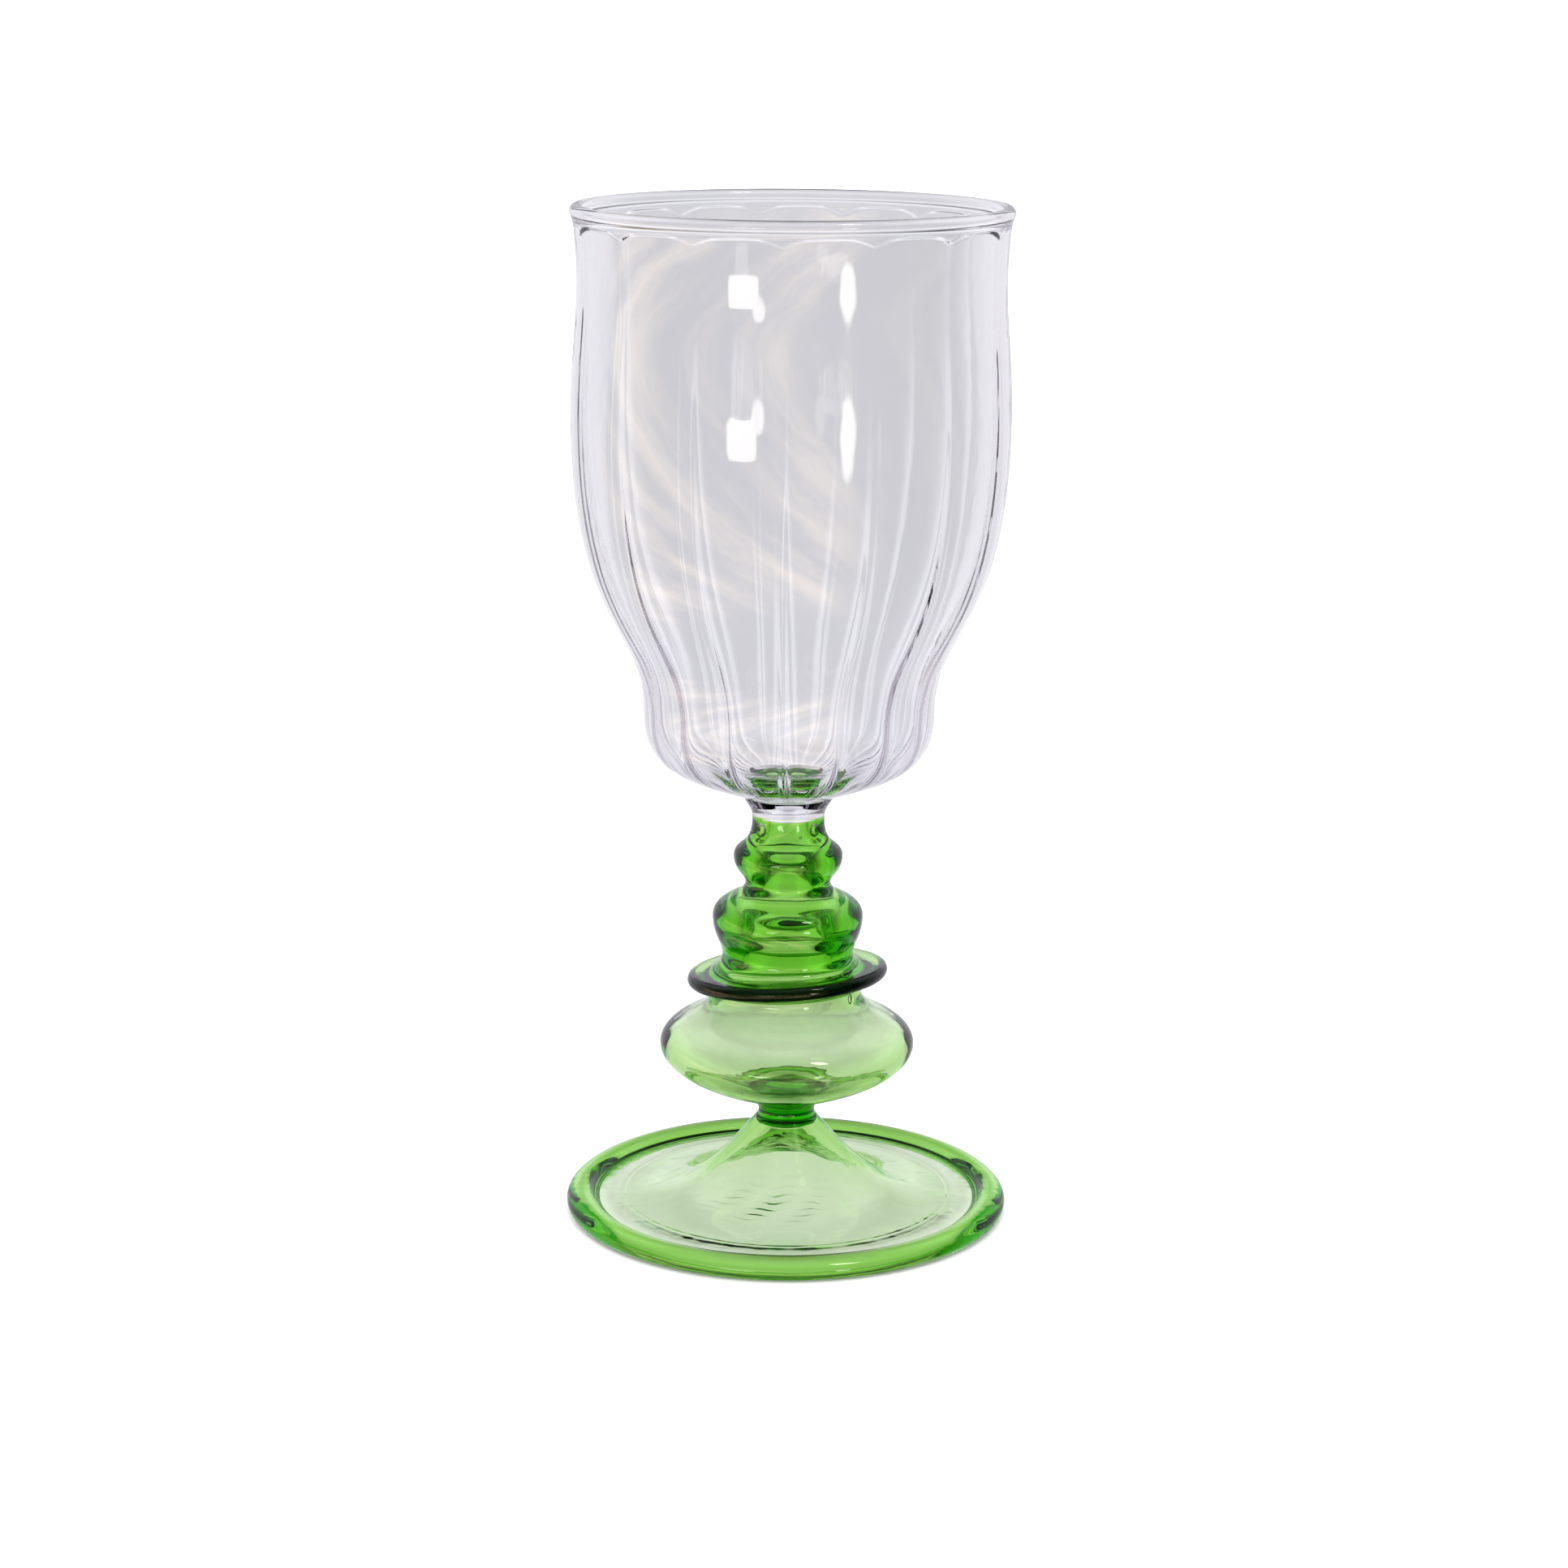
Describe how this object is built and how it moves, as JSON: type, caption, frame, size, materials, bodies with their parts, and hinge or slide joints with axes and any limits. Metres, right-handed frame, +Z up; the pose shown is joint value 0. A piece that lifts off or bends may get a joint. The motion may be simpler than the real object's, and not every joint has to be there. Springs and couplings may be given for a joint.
{
  "type": "wine glass",
  "caption": "Hand-blown stemmed glass: clear ribbed tulip bowl with a rounded rim, on a hollow knopped green stem with a tilted flange and a flared foot.",
  "frame": {"origin": "centre of the circle that the foot rests on", "axes": "+Z up along the axis of the bowl and stem; +Y points to the side where the tilted flange is lowest at the back, +X to the side where it is highest"},
  "size_m": [0.0832, 0.0832, 0.1892],
  "materials": {
    "clear_glass": "fire-polished, clear",
    "green_glass": "fire-polished, green all through",
    "deep_green_glass": "fire-polished, solid, dark green all through"
  },
  "bodies": {
    "root": {"bowl": "clear_glass", "bowl_collar": "clear_glass", "stem": "green_glass", "foot_collar": "deep_green_glass", "foot": "green_glass"}
  },
  "joints": []
}
